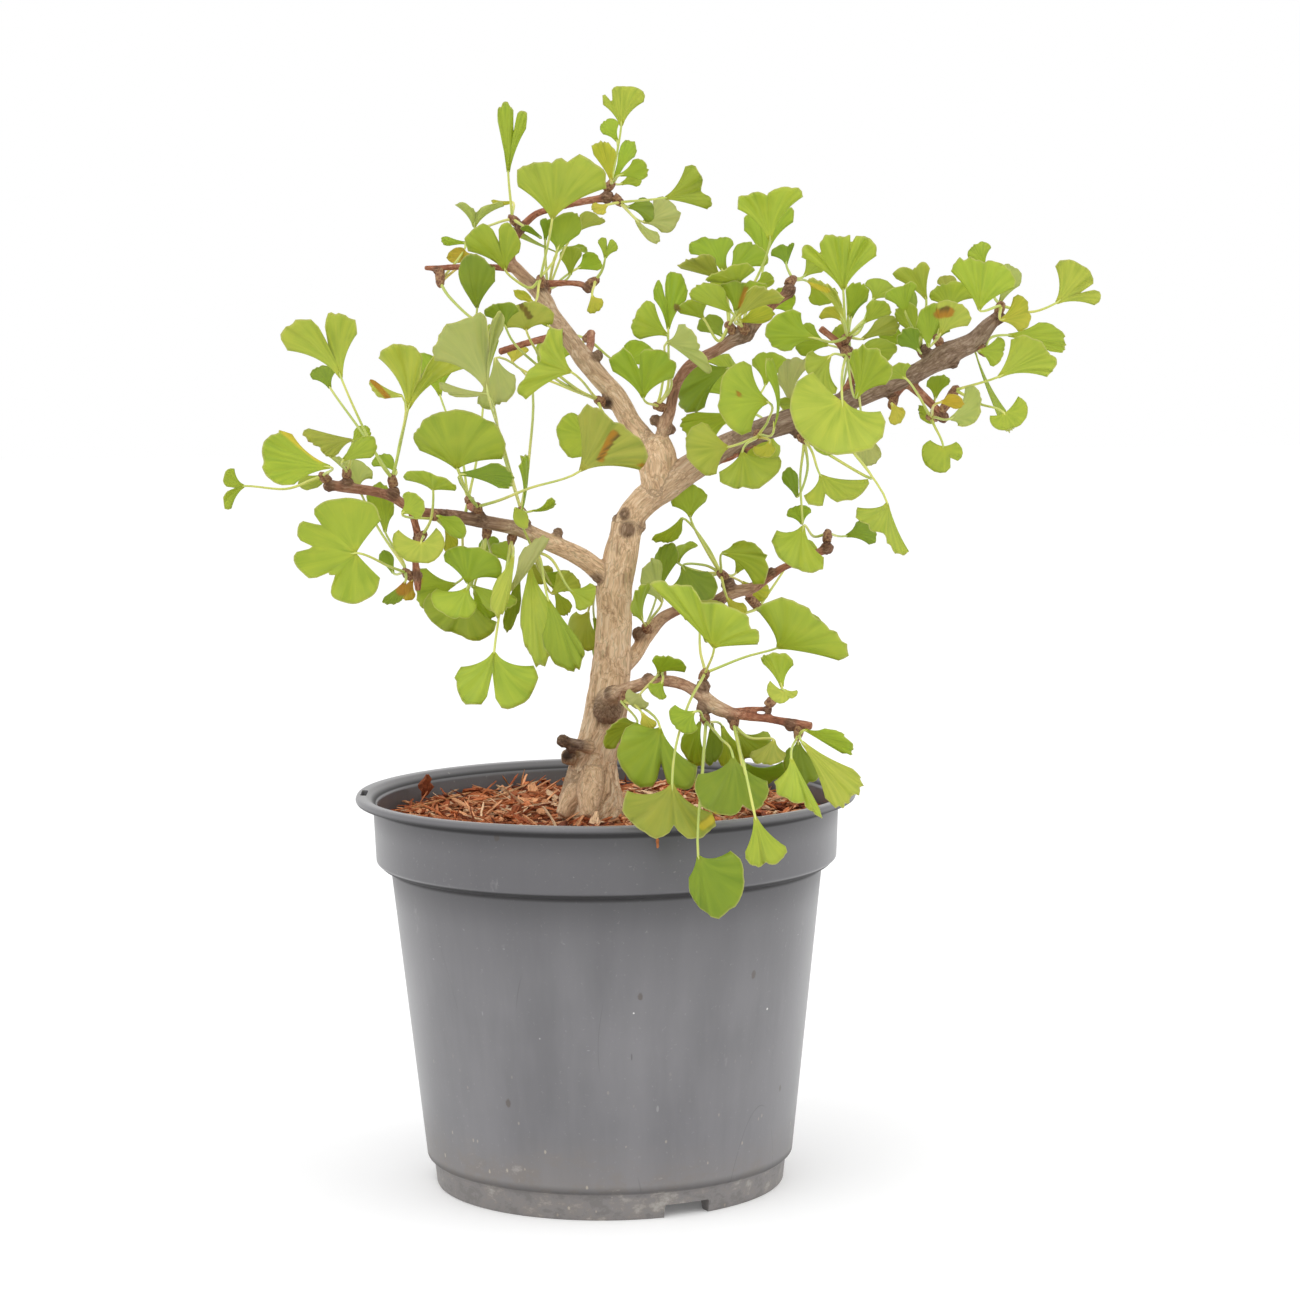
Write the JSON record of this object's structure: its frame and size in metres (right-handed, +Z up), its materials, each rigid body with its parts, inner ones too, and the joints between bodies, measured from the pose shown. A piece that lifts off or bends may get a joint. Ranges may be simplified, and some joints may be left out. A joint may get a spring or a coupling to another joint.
{
  "type": "ginkgo bonsai",
  "caption": "Ginkgo bonsai with a leaning trunk, forked limbs and tufts of fan-shaped leaves, rooted in soil under bark mulch in a round grey plastic nursery pot.",
  "frame": {"origin": "centre of the pot's foot, on the ground plane", "axes": "+Z up along the pot's axis, +X to the right and +Y away from the side that the reference view shows"},
  "size_m": [0.3724, 0.2683, 0.4803],
  "materials": {
    "pot": "moulded grey plastic, scuffed, with dried soil near the foot",
    "soil": "dark peat and bark fines",
    "mulch": "shredded orange-brown bark",
    "bark": "fine furrowed tan bark, darker on old twigs",
    "leaf": "thin satin green blades with fanned veins"
  },
  "bodies": {
    "root": {"bark_mulch": "mulch", "leaves_back_branch_knob": "leaf", "leaves_back_branch_tip": "leaf", "leaves_back_crown": "leaf", "leaves_back_knob": "leaf", "leaves_back_left": "leaf", "leaves_back_low": "leaf", "leaves_back_low_left": "leaf", "leaves_back_right": "leaf", "leaves_crown_left": "leaf", "leaves_crown_right": "leaf", "leaves_crown_tip": "leaf", "leaves_fork_knob": "leaf", "leaves_left_branch_under": "leaf", "leaves_left_end": "leaf", "leaves_left_end_top": "leaf", "leaves_left_hanging_spur": "leaf", "leaves_left_hanging_tip": "leaf", "leaves_left_inner_low": "leaf", "leaves_left_limb_back": "leaf", "leaves_left_limb_front": "leaf", "leaves_left_limb_low": "leaf", "leaves_left_middle_hanging": "leaf", "leaves_left_middle_long": "leaf", "leaves_left_spur_high": "leaf", "leaves_left_spur_middle": "leaf", "leaves_left_spur_top": "leaf", "leaves_left_twig": "leaf", "leaves_limb_knob": "leaf", "leaves_limb_knob_back": "leaf", "leaves_limb_spur": "leaf", "leaves_low_collar": "leaf", "leaves_low_end": "leaf", "leaves_low_end_front": "leaf", "leaves_low_fork": "leaf", "leaves_low_neck": "leaf", "leaves_low_twig_back": "leaf", "leaves_low_upper_twig": "leaf", "leaves_right_bud_left": "leaf", "leaves_right_bud_top": "leaf", "leaves_right_end_hanging": "leaf", "leaves_right_end_tip": "leaf", "leaves_right_end_under": "leaf", "leaves_right_knob_low": "leaf", "leaves_right_knob_top": "leaf", "leaves_right_short_twig": "leaf", "leaves_right_spur_low": "leaf", "leaves_right_twig": "leaf", "leaves_trunk_bud": "leaf", "leaves_trunk_left_back": "leaf", "leaves_upper_knob": "leaf", "leaves_upper_knob_front": "leaf", "leaves_upper_right": "leaf", "pot": "pot", "potting_soil": "soil", "tree_wood": "bark"}
  },
  "joints": []
}
